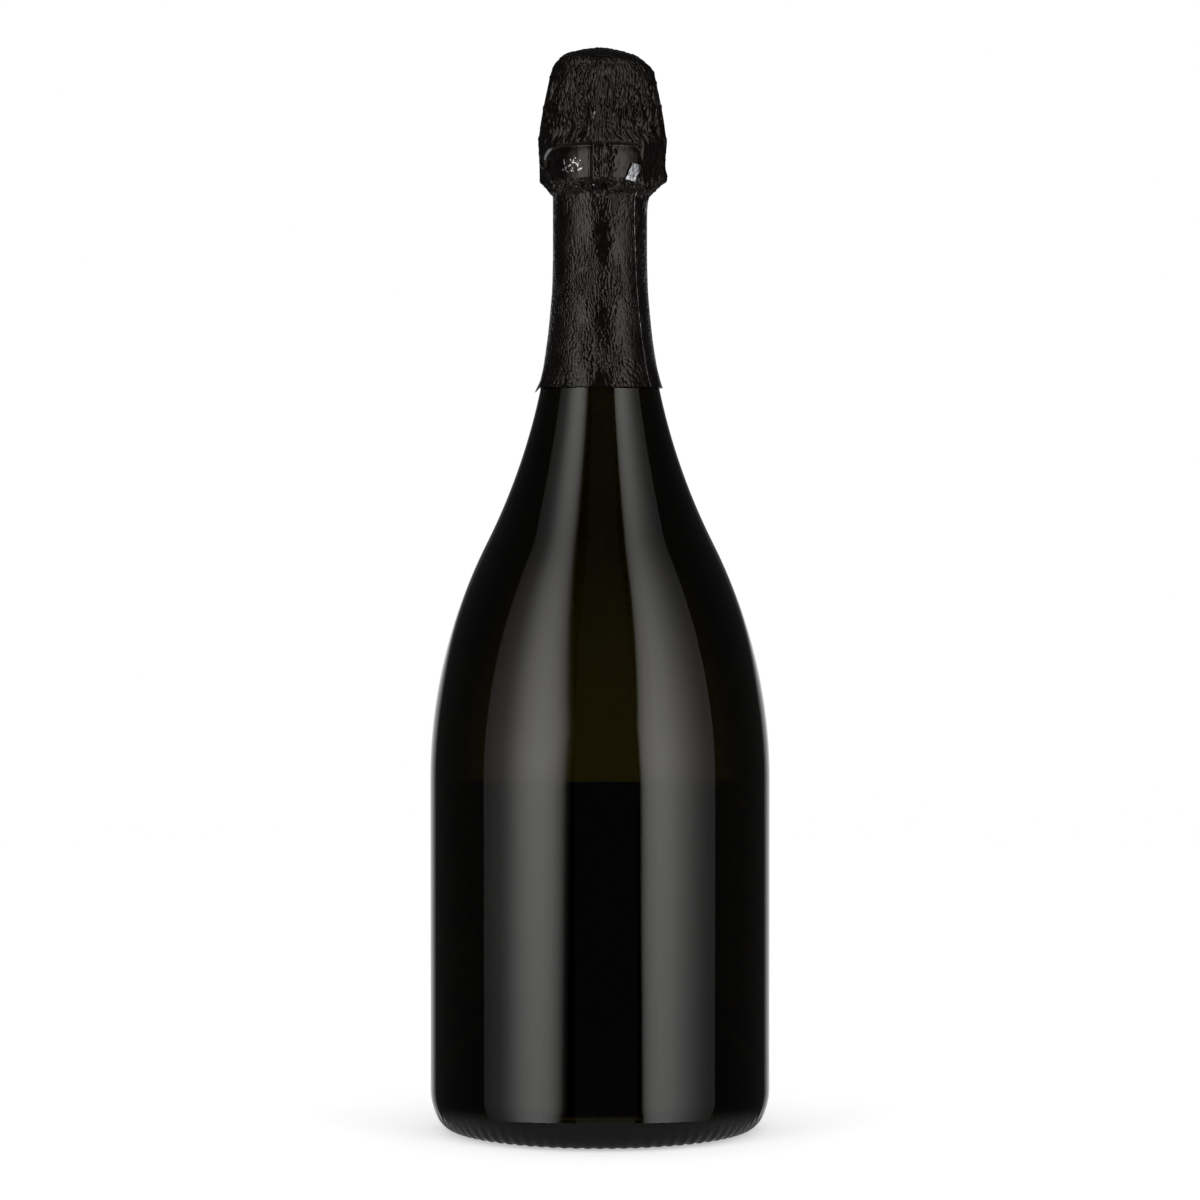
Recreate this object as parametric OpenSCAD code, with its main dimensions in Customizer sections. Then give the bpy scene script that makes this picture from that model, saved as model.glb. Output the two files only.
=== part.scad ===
// Magnum champagne bottle, 1.5 litres: glass, cork, wire cage and foil capsule.
// Millimetres, +Z up, the bearing ring stands on z = 0 and the bottle's axis is Z.
// The plain back of the glass faces -Y and the label is on the +Y side.

/* [Glass body] */
// Diameter of the cylindrical body
body_d = 118; // [112:1:124]
// Height where the body turns into the shoulder
shoulder_z = 121; // [110:1:135]
// Radius of the shoulder arc, which curves inwards
shoulder_arc = 182; // [170:1:200]
// Radius of the arc that sweeps from the shoulder up into the neck
neck_arc = 217; // [205:1:230]
// Thickness of the glass round the body
wall = 5.1; // [4:0.1:6]
// Height of the rounded heel
heel_h = 14.2; // [10:0.2:18]
// Width that the heel rounds off at the bottom edge
heel_in = 8; // [6:0.2:9]
// Depth of the punt
punt_h = 45; // [35:1:55]
// Width of the flat ring that the bottle stands on
bearing_w = 4; // [3:0.5:5]
// Thickness of the glass over the top of the punt
punt_t = 9; // [6:0.5:10]

/* [Neck and mouth] */
// Outer diameter of the neck
neck_d = 32.2; // [31.6:0.1:32.6]
// Bore of the neck below the cork
neck_bore_d = 21; // [19:0.5:22]
// Bore of the mouth, which holds the cork
mouth_bore_d = 18; // [17:0.1:19]
// Diameter of the ring that the cage grips
ring_d = 36; // [35:0.2:36.6]
// Height of that ring
ring_h = 10.5; // [9:0.5:11]
// Distance from the underside of the ring to the mouth
finish_h = 22.5; // [21:0.5:23]
// Diameter of the bead round the mouth
bead_d = 28.6; // [27:0.1:30]
// Height of the bead
bead_h = 7; // [5:0.5:8]

/* [Cork] */
// Depth of the cork in the mouth
cork_in = 24; // [20:1:28]
// Height of the cork above the mouth
cork_out = 18.3; // [18.1:0.1:18.6]
// Diameter of the cork's swollen head
cork_head_d = 29.6; // [28:0.2:30]
// Thickness of one natural cork disc
cork_disc_h = 6; // [4:0.5:7]
// Radial clearance of the cork in the mouth
cork_fit = 0.05; // [0.02:0.01:0.1]

/* [Wire cage] */
// Diameter of the wire
wire_d = 1.0; // [0.8:0.05:1.1]
// Clearance between wires, and between wire and plate
wire_gap = 0.16; // [0.12:0.01:0.2]
// Clearance between the cage and the glass
cage_gap = 0.2; // [0.15:0.05:0.3]
// Radius of the wire ring on top of the plate
top_ring_r = 10.2; // [9.8:0.1:10.6]
// Bend where a wire turns out of a ring
wire_bend = 1.2; // [1:0.1:1.6]
// Full turns of twist in a leg
leg_turns = 5; // [4:1:6]
// How far a leg bows out between the plate and the ring
leg_bow = 2.2; // [1.8:0.1:2.4]
// Direction of the first leg, seen from above, anticlockwise from the front
leg_turn = -5; // [-10:1:10]
// Thickness of the metal cap plate
plate_t = 0.4; // [0.3:0.05:0.5]
// Rise of the plate's middle above its groove
plate_rise = 2.6; // [2:0.1:3]
// Direction of the loop that opens the belt, anticlockwise from the front
loop_at = 128; // [120:1:140]
// Full turns of twist in the loop's stem, which six half turns undo
loop_turns = 3; // [2:1:4]
// Width of the loop's eye
eye_w = 7; // [6:0.5:8]

/* [Foil] */
// Thickness of the foil as modelled, with its folds
foil_t = 0.3; // [0.2:0.05:0.35]
// Height of the lower edge of the foil
hem_z = 257; // [250:1:262]
// Height of the tear strip's lower edge above the underside of the ring
strip_up = 0.9; // [0.6:0.1:1.2]
// Width of the tear strip
strip_h = 5.8; // [5:0.1:6.5]
// Gap at each perforation line
perforation = 0.25; // [0.2:0.05:0.4]
// Direction of the lap seam, anticlockwise from the front
seam_at = 52; // [40:1:60]
// Pleats where the foil is drawn in under the ring
pleats = 18; // [12:1:24]

/* [Tear tab] */
// Direction of the tab's hinge, anticlockwise from the front
tab_at = 48; // [46:0.5:49]
// Angle that the tab covers
tab_sweep = 20; // [16:1:22]
// Height of the tab
tab_h = 5.6; // [4:0.1:6.5]

/* [Label] */
// Width of the label, along the glass
label_w = 96; // [80:1:110]
// Height of the label's lower edge
label_z = 20; // [17:1:24]
// Height of the label
label_h = 98; // [80:1:100]
// Thickness of the label
label_t = 0.15; // [0.1:0.05:0.3]

/* [Hidden] */
$fn = 96;

body_r = body_d / 2;
neck_r = neck_d / 2;
ring_r = ring_d / 2;
bead_r = bead_d / 2;
front = -90;

// The shoulder and neck arcs touch, so their radii and the two diameters fix the rise.
function arcs_rise(fall, r_sum) = sqrt(r_sum * r_sum - pow(r_sum - fall, 2));
arcs_sum = shoulder_arc + neck_arc;
neck_z = shoulder_z + arcs_rise(body_r - neck_r, arcs_sum);
neck_len = 26.5;
ring_z = neck_z + neck_len;
mouth_z = ring_z + finish_h;

function arc(c, r, a0, a1, n) = [for (i = [0:n]) c + r * [cos(a0 + (a1 - a0) * i / n), sin(a0 + (a1 - a0) * i / n)]];

// Shoulder and neck arcs from (r0, z0) up to radius r1, for the arc radii ra and rb.
function shoulder_curve(r0, z0, r1, ra, rb, n) =
    let (rise = arcs_rise(r0 - r1, ra + rb), turn = asin(rise / (ra + rb)))
    concat(
        arc([r0 - ra, z0], ra, 0, turn, n),
        arc([r1 + rb, z0 + rise], rb, 180 + turn, 180, n)
    );

punt_edge = 1.5;
punt_power = 1.5;
punt_r = body_r - heel_in - bearing_w - punt_edge;
function dome(r_foot, z_foot, z_top, r_end, n) =
    [for (i = [0:n]) let (r = r_end * i / n)
        [r, z_foot + (z_top - z_foot) * cos(90 * pow(r / r_foot, punt_power))]];
function turned(points) = [for (i = [len(points) - 1:-1:0]) points[i]];

ring_edge = 1.2;
ring_top_edge = 2.5;
bead_edge = 2;
groove_r = bead_r - 1;

outer_outline = concat(
    dome(punt_r, punt_edge, punt_h, punt_r, 14),
    arc([punt_r + punt_edge, punt_edge], punt_edge, 180, 270, 3),
    [for (i = [8:-1:0]) [body_r - heel_in + heel_in * cos(90 * i / 8), heel_h - heel_h * sin(90 * i / 8)]],
    shoulder_curve(body_r, shoulder_z, neck_r, shoulder_arc, neck_arc, 14),
    [[neck_r, ring_z]],
    arc([ring_r - ring_edge, ring_z + ring_edge], ring_edge, -90, 0, 4),
    arc([ring_r - ring_top_edge, ring_z + ring_h - ring_top_edge], ring_top_edge, 0, 90, 5),
    [[groove_r, ring_z + ring_h + 1], [groove_r, mouth_z - bead_h]],
    arc([bead_r - bead_edge, mouth_z - bead_h + bead_edge], bead_edge, -60, 0, 3),
    arc([bead_r - bead_edge, mouth_z - bead_edge], bead_edge, 0, 90, 5)
);

inner_r = body_r - wall;
mouth_r = mouth_bore_d / 2;
bore_r = neck_bore_d / 2;
lip_edge = 0.8;
cork_z = mouth_z - cork_in;
seat_z = cork_z - 1;
// Inside, the glass over the punt meets the wall in a round trough.
trough_r = punt_r + 1;
trough_z = 13;
floor_spread = 5.5;
floor_dome_r = trough_r + floor_spread;
trough_w = (inner_r - trough_r) / 2;
inner_curve = shoulder_curve(inner_r, shoulder_z - 1, bore_r, shoulder_arc - wall, neck_arc + wall, 14);

inner_outline = concat(
    dome(floor_dome_r, 0, punt_h + punt_t, trough_r, 12),
    arc([trough_r + trough_w, trough_z], trough_w, 180, 360, 8),
    inner_curve,
    [[mouth_r, seat_z]],
    arc([mouth_r + lip_edge, mouth_z - lip_edge], lip_edge, 180, 90, 3)
);

module bottle_glass() {
    color([0.05, 0.07, 0.03])
    rotate_extrude()
    polygon(concat(outer_outline, turned(inner_outline)));
}

label_corner = 6;
label_glue = 0.02;
module front_label() {
    color([0.09, 0.09, 0.1])
    intersection() {
        difference() {
            translate([0, 0, label_z])
            cylinder(r = body_r + label_glue + label_t, h = label_h);
            translate([0, 0, label_z - 1])
            cylinder(r = body_r + label_glue, h = label_h + 2);
        }
        // the flat width across the chord of the wanted length along the glass
        rotate([-90, 0, 0])
        linear_extrude(body_r + 2)
        rounded_plate(2 * body_r * sin(label_w / body_r * 90 / PI), label_z, label_h);
    }
}

module rounded_plate(w, z, h) {
    c = label_corner;
    translate([-w / 2, -z - h]) {
        translate([c, 0])
        square([w - 2 * c, h]);
        translate([0, c])
        square([w, h - 2 * c]);
        for (x = [c, w - c], y = [c, h - c])
            translate([x, y])
            circle(r = c);
    }
}

stem_r = mouth_r - cork_fit;
head_r = cork_head_d / 2;
cork_top = mouth_z + cork_out;
crown_r = 11.6;
crown_arc = 2.4;
head_base = 0.2;
head_edge = 3.5;
head_swell_z = 5;
head_foot_in = 3.2;

module cork_body() {
    color([0.76, 0.6, 0.42])
    rotate_extrude()
    polygon(concat(
        [[0, cork_z + 2 * cork_disc_h], [stem_r, cork_z + 2 * cork_disc_h], [stem_r, mouth_z - lip_edge]],
        [[stem_r + head_base, mouth_z + head_base], [bead_r - head_foot_in, mouth_z + 2.5 * head_base]],
        arc([head_r - head_edge, mouth_z + head_swell_z], head_edge, -60, 0, 4),
        arc([crown_r, cork_top - crown_arc], crown_arc, 15, 90, 4),
        [[0, cork_top]]
    ));
}

module cork_disc(z) {
    color([0.82, 0.67, 0.48])
    translate([0, 0, z])
    cylinder(r = stem_r, h = cork_disc_h);
}
module cork_disc_upper() {
    cork_disc(cork_z + cork_disc_h);
}
module cork_disc_lower() {
    cork_disc(cork_z);
}

// The plate follows the cork's crown, and its groove seats the wire ring.
plate_gap = 0.1;
plate_in_r = crown_arc + plate_gap;
plate_out_r = plate_in_r + plate_t;
crown_z = cork_top - crown_arc;
groove_top = crown_z + plate_out_r;
plate_rim_angle = 4;
rise_r = top_ring_r - wire_d / 2 - 0.6;
rise_run = 0.8;
step_z = groove_top + 1.6;
middle_z = groove_top + plate_rise;
middle_fall = 0.2;
notch_w = 3.4;
notch_r = 12.4;
notch_deep = 3;

module cap_plate() {
    color([0.2, 0.2, 0.21])
    difference() {
        rotate_extrude()
        polygon(concat(
            arc([crown_r, crown_z], plate_out_r, plate_rim_angle, 90, 6),
            [[rise_r, groove_top], [rise_r - rise_run, step_z], [rise_r / 2, middle_z - middle_fall]],
            [[0, middle_z], [0, middle_z - plate_t], [rise_r / 2, middle_z - middle_fall - plate_t]],
            [[rise_r - rise_run - plate_t, step_z - plate_t], [rise_r - plate_t, groove_top - plate_t]],
            arc([crown_r, crown_z], plate_in_r, 90, plate_rim_angle, 6)
        ));
        for (i = [0:3])
            rotate(front + leg_turn + 90 * i)
            translate([notch_r, -notch_w / 2, crown_z - notch_deep])
            cube([plate_out_r, notch_w, 4 * notch_deep]);
    }
}

// Wires: tubes of six sides along points, with a frame carried from ring to ring.
wire_r = wire_d / 2;
pair_r = wire_r + wire_gap / 2;
tube_sides = 6;
function unit(v) = v / norm(v);
function heading(p, i) = unit(p[min(i + 1, len(p) - 1)] - p[max(i - 1, 0)]);
function side_of(t, was) = unit(was - t * (was * t));
function sides_along(p) =
    let (t0 = heading(p, 0), start = abs(t0.z) < 0.9 ? [0, 0, 1] : [1, 0, 0])
    [for (i = 0, u = side_of(t0, start); i < len(p); i = i + 1, u = i < len(p) ? side_of(heading(p, i), u) : u) u];
function tube_points(p, r) =
    let (u = sides_along(p))
    [for (i = [0:len(p) - 1]) let (v = cross(heading(p, i), u[i]))
        for (k = [0:tube_sides - 1]) let (a = 360 * k / tube_sides) p[i] + r * (cos(a) * u[i] + sin(a) * v)];
function tube_faces(n) = concat(
    [for (i = [0:n - 2], k = [0:tube_sides - 1]) let (m = (k + 1) % tube_sides)
        [(i + 1) * tube_sides + m, i * tube_sides + m, i * tube_sides + k]],
    [for (i = [0:n - 2], k = [0:tube_sides - 1]) let (m = (k + 1) % tube_sides)
        [(i + 1) * tube_sides + k, (i + 1) * tube_sides + m, i * tube_sides + k]],
    [for (k = [1:tube_sides - 2]) [k, k + 1, 0]],
    [for (k = [1:tube_sides - 2]) let (e = (n - 1) * tube_sides) [e + k + 1, e + k, e]]
);
module tube(p, r) {
    polyhedron(tube_points(p, r), tube_faces(len(p)));
}

// A spine is a curve of (radius, height) points in a leg's upright plane.
function lengths(p) = [for (i = 0, s = 0; i < len(p); i = i + 1, s = i < len(p) ? s + norm(p[i] - p[i - 1]) : s) s];
function clamped(x) = max(0, min(1, x));

// One of a leg's two strands: side by side, then twisted between two places on the spine.
spine_step = 0.3;
function strand(spine, side, turns, from, to, tail) =
    let (
        at = lengths(spine),
        r_at = [for (i = [0:len(spine) - 1]) [at[i], spine[i].x]],
        z_at = [for (i = [0:len(spine) - 1]) [at[i], spine[i].y]],
        end = at[len(at) - 1],
        places = concat(
            [for (i = [0:1]) from * i / 2],
            [for (i = [0:6 * turns]) from + (to - from) * i / (6 * turns)],
            [for (i = [1:tail]) to + (end - to) * i / tail]
        )
    )
    [for (s = places) let (
        p = [lookup(s, r_at), lookup(s, z_at)],
        on = min(s + spine_step, end),
        back = max(s - spine_step, 0),
        t = unit([lookup(on, r_at), lookup(on, z_at)] - [lookup(back, r_at), lookup(back, z_at)]),
        phase = 90 + 360 * turns * clamped((s - from) / (to - from)),
        a = side * pair_r
    ) [p.x + a * cos(phase) * t.y, a * sin(phase), p.y - a * cos(phase) * t.x]];

// Where a wire leaves a ring of radius r for a leg: the bend's centre, and its points.
function bend_x(r) = sqrt(pow(r + wire_bend, 2) - pow(pair_r + wire_bend, 2));
function bend_angle(r) = asin((pair_r + wire_bend) / (r + wire_bend));
function bend(r, side, n) =
    [for (p = arc([bend_x(r), pair_r + wire_bend], wire_bend, 180 + bend_angle(r), 270, n)) [p.x, side * p.y]];
function lifted(p, z) = [for (q = p) [q.x, q.y, z]];
function spun(p, a) = [for (q = p) [q.x * cos(a) - q.y * sin(a), q.x * sin(a) + q.y * cos(a), q.z]];
function round_ring(r, a0, a1, z, n) = [for (i = [1:n - 1]) let (a = a0 + (a1 - a0) * i / n) [r * cos(a), r * sin(a), z]];
function rest_of(p) = [for (i = [1:len(p) - 1]) p[i]];

// The leg bends over the plate's rim, bows out past the ring and hooks under the belt.
ring_wire_z = groove_top + wire_gap + wire_r;
over_rim = 4.2;
rim_lean = 15;
belt_r = neck_r + cage_gap + wire_r;
belt_z = ring_z - cage_gap - wire_r;
edge_c = [ring_r - ring_edge, ring_z + ring_edge];
edge_wrap = ring_edge + cage_gap + wire_r;
hook_c = [belt_r, belt_z];
hook_wrap = wire_d + wire_gap;
foot_angle = -6;
wrap_angle = atan2((hook_c - edge_c).y, (hook_c - edge_c).x) + acos((edge_wrap - hook_wrap) / norm(hook_c - edge_c));
leg_top = [top_ring_r + wire_bend, ring_wire_z - over_rim] + over_rim * [cos(rim_lean), sin(rim_lean)];
leg_foot = edge_c + edge_wrap * [cos(foot_angle), sin(foot_angle)];

function bowed(p, q, bow, n) = [for (i = [1:n - 1]) let (u = i / n) p + (q - p) * u + [bow * sin(180 * u), 0]];
leg_spine = concat(
    [[bend_x(top_ring_r), ring_wire_z]],
    arc([top_ring_r + wire_bend, ring_wire_z - over_rim], over_rim, 90, rim_lean, 7),
    bowed(leg_top, leg_foot, leg_bow, 14),
    arc(edge_c, edge_wrap, foot_angle, wrap_angle, 3),
    arc(hook_c, hook_wrap, wrap_angle, -90, 5)
);
twist_from = 2.5;
leg_len = lengths(leg_spine)[len(leg_spine) - 1];
leg_straight = 8;
twist_to = leg_len - leg_straight;

function leg_strand(side) = concat(
    lifted(bend(top_ring_r, side, 3), ring_wire_z),
    rest_of(strand(leg_spine, side, leg_turns, twist_from, twist_to, 7))
);

module cage_wire(i) {
    a = front + leg_turn + 90 * (i - 1);
    color([0.62, 0.62, 0.64])
    tube(concat(
        turned(spun(leg_strand(1), a)),
        round_ring(top_ring_r, a + bend_angle(top_ring_r), a + 90 - bend_angle(top_ring_r), ring_wire_z, 8),
        spun(leg_strand(-1), a + 90)
    ), wire_r);
}
module cage_wire_1() {
    cage_wire(1);
}
module cage_wire_2() {
    cage_wire(2);
}
module cage_wire_3() {
    cage_wire(3);
}
module cage_wire_4() {
    cage_wire(4);
}

// The belt's two ends turn out, twist into a stem folded up over the ring, and end in the eye.
stem_bend = 1.5;
stem_len = 18.7;
stem_lean = 1.9;
stem_bow = 0.6;
stem_foot = [belt_r + wire_bend + stem_bend, belt_z + stem_bend];
stem_top = stem_foot + [-stem_lean, stem_len];
stem_spine = concat(
    [[bend_x(belt_r), belt_z]],
    arc([belt_r + wire_bend, belt_z + stem_bend], stem_bend, -90, 0, 5),
    bowed(stem_foot, stem_top, stem_bow, 10),
    [stem_top]
);
stem_run = lengths(stem_spine)[len(stem_spine) - 1];
stem_straight = 0.8;
stem_twist = 13.2;
stem_to = stem_run - stem_straight;
function stem_strand(side) = concat(
    lifted(bend(belt_r, side, 3), belt_z),
    rest_of(strand(stem_spine, side, loop_turns, stem_to - stem_twist, stem_to, 2))
);

eye_r = eye_w / 2 - wire_r;
eye_up = unit([-stem_lean - stem_bow * PI, stem_len]);
eye_cut = 12;
eye_centre = stem_top + eye_up * bend_x(eye_r);
// Points of the eye's own plane, x down the stem and y across it, in the leg's frame.
function in_eye(p) = [for (q = p) [eye_centre.x - q.x * eye_up.x, q.y, eye_centre.y - q.x * eye_up.y]];
eye_turn = 360 - 2 * bend_angle(eye_r) - eye_cut;
eye_loop = [for (i = [1:14]) let (a = -bend_angle(eye_r) - eye_turn * i / 14) eye_r * [cos(a), sin(a)]];

module cage_belt() {
    a = front + loop_at;
    color([0.62, 0.62, 0.64])
    tube(spun(concat(
        in_eye(bend(eye_r, 1, 3)),
        rest_of(turned(stem_strand(1))),
        round_ring(belt_r, bend_angle(belt_r), 360 - bend_angle(belt_r), belt_z, 36),
        stem_strand(-1),
        rest_of(in_eye(turned(bend(eye_r, -1, 3)))),
        in_eye(eye_loop)
    ), a), wire_r);
}

// Foil: a skin stretched from the legs and the loop on to what lies between them.
foil_gap = 0.2;
foil_steps = 72;
function wrapped(a, period) = a - period * floor(a / period + 0.5);
function tent(peak, valley, a) = peak <= valley ? valley : valley / cos(max(0, acos(valley / peak) - a));

// A level is [height, radius over a leg, over the loop, between them, depth of pleats, lap].
lap_angle = 25;
lap_fade = 40;
function lap(a) =
    let (b = -wrapped(a - front - seam_at, 360), c = b < 0 ? b + 360 : b)
    c <= lap_angle ? 1 : max(0, 1 - (c - lap_angle) / lap_fade);
function foil_r(level, a) =
    max(tent(level[1], level[3], abs(wrapped(a - front - leg_turn, 90))),
        tent(level[2], level[3], abs(wrapped(a - front - loop_at, 360))))
    + level[4] * cos(pleats * a)
    + level[5] * foil_t * lap(a);

function level_out(levels, i) =
    let (
        d = levels[min(i + 1, len(levels) - 1)] - levels[max(i - 1, 0)],
        n = unit([d[0], -(d[1] + d[3]) / 2])
    ) n;
function foil_ring(levels, i, inset) =
    let (n = level_out(levels, i))
    [for (k = [0:foil_steps - 1]) let (
        a = front + leg_turn + 360 * k / foil_steps,
        r = foil_r(levels[i], a) - inset * n.x
    ) [r * cos(a), r * sin(a), levels[i][0] - inset * n.y]];

// A closed skin: the outer rings going up, the inner rings coming down, and back to the first.
module foil(levels) {
    count = len(levels);
    points = concat(
        [for (i = [0:count - 1]) each foil_ring(levels, i, 0)],
        [for (i = [count - 1:-1:0]) each foil_ring(levels, i, foil_t)]
    );
    rows = 2 * count;
    polyhedron(points, concat(
        [for (i = [0:rows - 1], k = [0:foil_steps - 1])
            let (j = (i + 1) % rows, m = (k + 1) % foil_steps)
            [i * foil_steps + k, j * foil_steps + m, i * foil_steps + m]],
        [for (i = [0:rows - 1], k = [0:foil_steps - 1])
            let (j = (i + 1) % rows, m = (k + 1) % foil_steps)
            [i * foil_steps + k, j * foil_steps + k, j * foil_steps + m]]
    ));
}

strip_z = ring_z + strip_up;
strip_top = strip_z + strip_h;
leg_foil = ring_r + leg_bow + 1.8;
loop_foil = leg_foil - 0.2;
ring_foil = ring_r + foil_gap + foil_t;
neck_foil = neck_r + 0.1 + foil_t;
pleat = 0.12;

// The glass under the skirt, so that the skirt follows it with the slack of loose foil.
function glass_r(z) = z > neck_z ? neck_r : neck_r + neck_arc - sqrt(neck_arc * neck_arc - pow(neck_z - z, 2));
function skirt_level(z, slack, wave, l) = let (r = glass_r(z) + foil_t + slack) [z, r, r, r, wave, l];
// Up from the hem, as [height above it, slack, depth of its waves].
skirt_slack = [
    [0, 1.15, 0.125], [2.7, 0.7, 0.06], [7, 0.5, 0], [16.5, 0.6, 0], [23.5, 0.5, 0], [33, 0.3, 0], [44, 0.2, 0]
];
full_lap = 0.8;
tight = 0.15;

module foil_skirt() {
    color([0.07, 0.065, 0.06])
    foil(concat(
        [for (s = skirt_slack) skirt_level(hem_z + s[0], s[1], s[2], full_lap)],
        [
            skirt_level(ring_z - 11, tight, 0, full_lap),
            skirt_level(ring_z - 3.9, tight, 0, full_lap / 2),
            [ring_z - 3.3, neck_foil + 1.5, neck_foil + 1.4, neck_foil + 1.1, pleat, 0],
            [ring_z - 2.2, neck_foil + 3.5, neck_foil + 3.1, neck_foil + 2.1, pleat, 0],
            [ring_z - 0.7, leg_foil - 0.7, loop_foil - 0.8, ring_foil + 0.4, pleat, 0],
            [strip_z - perforation, leg_foil, loop_foil, ring_foil + 0.15, 0, 0]
        ]
    ));
}

module tear_strip() {
    color([0.08, 0.075, 0.07])
    foil([
        [strip_z, leg_foil, loop_foil, ring_foil + 0.1, 0, 0],
        [strip_z + strip_h / 2, leg_foil - 0.1, loop_foil, ring_foil, 0, 0],
        [strip_top, leg_foil - 0.1, loop_foil, ring_foil, 0, 0]
    ]);
}

// Where the foil turns in over the top, as [radius, height above the cork].
crown_foil = [[14.7, 1.9], [12.4, 3.2], [10.2, 4]];
module foil_hood() {
    color([0.07, 0.065, 0.06])
    foil(concat(
        [
            [strip_top + perforation, leg_foil - 0.1, loop_foil, ring_foil, 0, 0],
            [ring_z + ring_h, leg_foil + 0.2, loop_foil - 0.1, ring_foil - 0.1, 0, 0],
            [ring_z + ring_h + 4.5, leg_foil + 0.4, loop_foil - 0.5, ring_foil - 1.2, pleat, 0],
            [mouth_z - 0.5, leg_foil - 0.5, loop_foil - 1.6, head_r + 2.1, pleat, 0],
            [mouth_z + 6, leg_foil - 1.7, loop_foil - 2.9, head_r + 1.6, pleat, 0],
            [mouth_z + 12, leg_foil - 3, head_r + 1.3, head_r + 1.2, pleat, 0],
            [cork_top - 2, leg_foil - 3.9, head_r + 1, head_r + 0.9, pleat, 0],
            [cork_top + 0.9, leg_foil - 5.7, head_r + 0.4, head_r + 0.3, 0, 0]
        ],
        [for (p = crown_foil) [cork_top + p.y, p.x, p.x - 0.01, p.x - 0.02, 0, 0]]
    ));
}

disc_gap = 0.05;
disc_dome = 2.3;
module foil_top_disc() {
    edge = crown_foil[len(crown_foil) - 1];
    under = concat(
        [for (p = crown_foil) [p.x, cork_top + p.y + disc_gap]],
        [for (u = [0.5, 0]) [edge.x * u, cork_top + edge.y + disc_dome * (1 - u * u)]]
    );
    color([0.06, 0.055, 0.05])
    rotate_extrude()
    polygon(concat(under, turned([for (p = under) p + [0, foil_t + disc_gap]])));
}

// The tab's outline leans, and it lies on the strip from its hinge towards the front.
tab_r = ring_foil + 0.3;
tab_t = 0.3;
tab_lean = 1.4;
module tear_tab() {
    mid = front + tab_at - tab_sweep / 2;
    half = tab_r * sin(tab_sweep / 2);
    z = strip_z + (strip_h - tab_h) / 2;
    color([0.72, 0.72, 0.74])
    intersection() {
        difference() {
            translate([0, 0, z])
            cylinder(r = tab_r + tab_t, h = tab_h);
            translate([0, 0, z - 1])
            cylinder(r = tab_r, h = tab_h + 2);
        }
        rotate(mid + 90)
        rotate([90, 0, 0])
        linear_extrude(tab_r + 2)
        polygon([[-half - tab_lean, z], [half, z], [half, z + tab_h], [-half, z + tab_h]]);
    }
}

bottle_glass();
front_label();
foil_skirt();
cork_body();
cork_disc_upper();
cork_disc_lower();
cap_plate();
cage_wire_1();
cage_wire_2();
cage_wire_3();
cage_wire_4();
cage_belt();
foil_hood();
foil_top_disc();
tear_strip();
tear_tab();
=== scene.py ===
"""Magnum champagne bottle: dark glass, wine, label, cork, wire cage and embossed foil capsule."""
import math

import bmesh
import bpy
from mathutils import Matrix, Vector, noise


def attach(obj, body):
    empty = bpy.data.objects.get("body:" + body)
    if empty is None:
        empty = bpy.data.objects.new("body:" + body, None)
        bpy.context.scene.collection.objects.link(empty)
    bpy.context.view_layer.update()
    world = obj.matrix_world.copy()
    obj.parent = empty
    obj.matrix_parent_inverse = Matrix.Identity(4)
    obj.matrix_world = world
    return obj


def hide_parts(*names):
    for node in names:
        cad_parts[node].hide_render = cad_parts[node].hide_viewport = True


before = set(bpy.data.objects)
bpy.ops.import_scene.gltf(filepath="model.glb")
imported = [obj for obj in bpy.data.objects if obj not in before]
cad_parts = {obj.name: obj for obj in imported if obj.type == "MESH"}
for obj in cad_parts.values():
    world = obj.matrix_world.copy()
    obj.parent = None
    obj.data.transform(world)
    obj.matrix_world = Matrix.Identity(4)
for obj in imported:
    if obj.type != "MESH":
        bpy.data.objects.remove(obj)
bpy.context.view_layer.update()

MM = 0.001
FRONT = -90                                    # the camera's side of the bottle, in degrees from +X

# The sizes of the part, in millimetres, as its source has them.
body_r, neck_r, ring_r, bead_r = 59, 16.1, 18, 14.3
shoulder_z, shoulder_arc, neck_arc, wall = 121, 182, 217, 5.1
heel_h, heel_in, bearing_w = 14.2, 8, 4
punt_h, punt_edge, punt_power, punt_t = 45, 1.5, 1.5, 9
punt_r = body_r - heel_in - bearing_w - punt_edge
ring_h, ring_edge, ring_top_edge = 10.5, 1.2, 2.5
finish_h, bead_h, bead_edge = 22.5, 7, 2
mouth_r, bore_r, lip_edge = 9, 10.5, 0.8
cork_in, cork_out, head_r = 24, 18.3, 14.8
arcs = shoulder_arc + neck_arc
neck_z = shoulder_z + math.sqrt(arcs ** 2 - (arcs - body_r + neck_r) ** 2)
ring_z = neck_z + 26.5
mouth_z = ring_z + finish_h
cork_top = mouth_z + cork_out
label_w, label_z, label_h, label_corner = 96, 20, 98, 6

# The foil capsule. Directions round the bottle are in degrees from its front, f.
leg_turn, loop_at = -5, 128                    # where a leg of the cage stands, and its loop
pleats, pleat = 18, 0.12                       # how many pleats go round it, and how high
foil_t, foil_skin = 0.3, 0.14                  # the foil's thickness in the part, and here
hem_z = 257
strip_z = ring_z + 0.9
strip_top = strip_z + 5.8
leg_foil = ring_r + 4
loop_foil = leg_foil - 0.2
ring_foil = ring_r + 0.5
neck_foil = neck_r + 0.4
lap_turn = 25                                  # the second layer's width at the seam
hood_shift, crown_lean = 0.8, 0.045            # the hood sits to the right, and its crown leans
sheet_r = 18                                   # the flat sheet is as long as once round this radius
sheet_w = 2 * math.pi * sheet_r
# Over the glass ring the foil is stretched taut, from and to these directions, with its ends
# rounded over so many degrees.
taut_windows = ((-81, 48, 48, 9), (93, 118, 8, 8), (138, 166, 8, 8), (-172, -106, 18, 18))
taut_z, taut_half = ring_z + 6.8, 6.2
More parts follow.
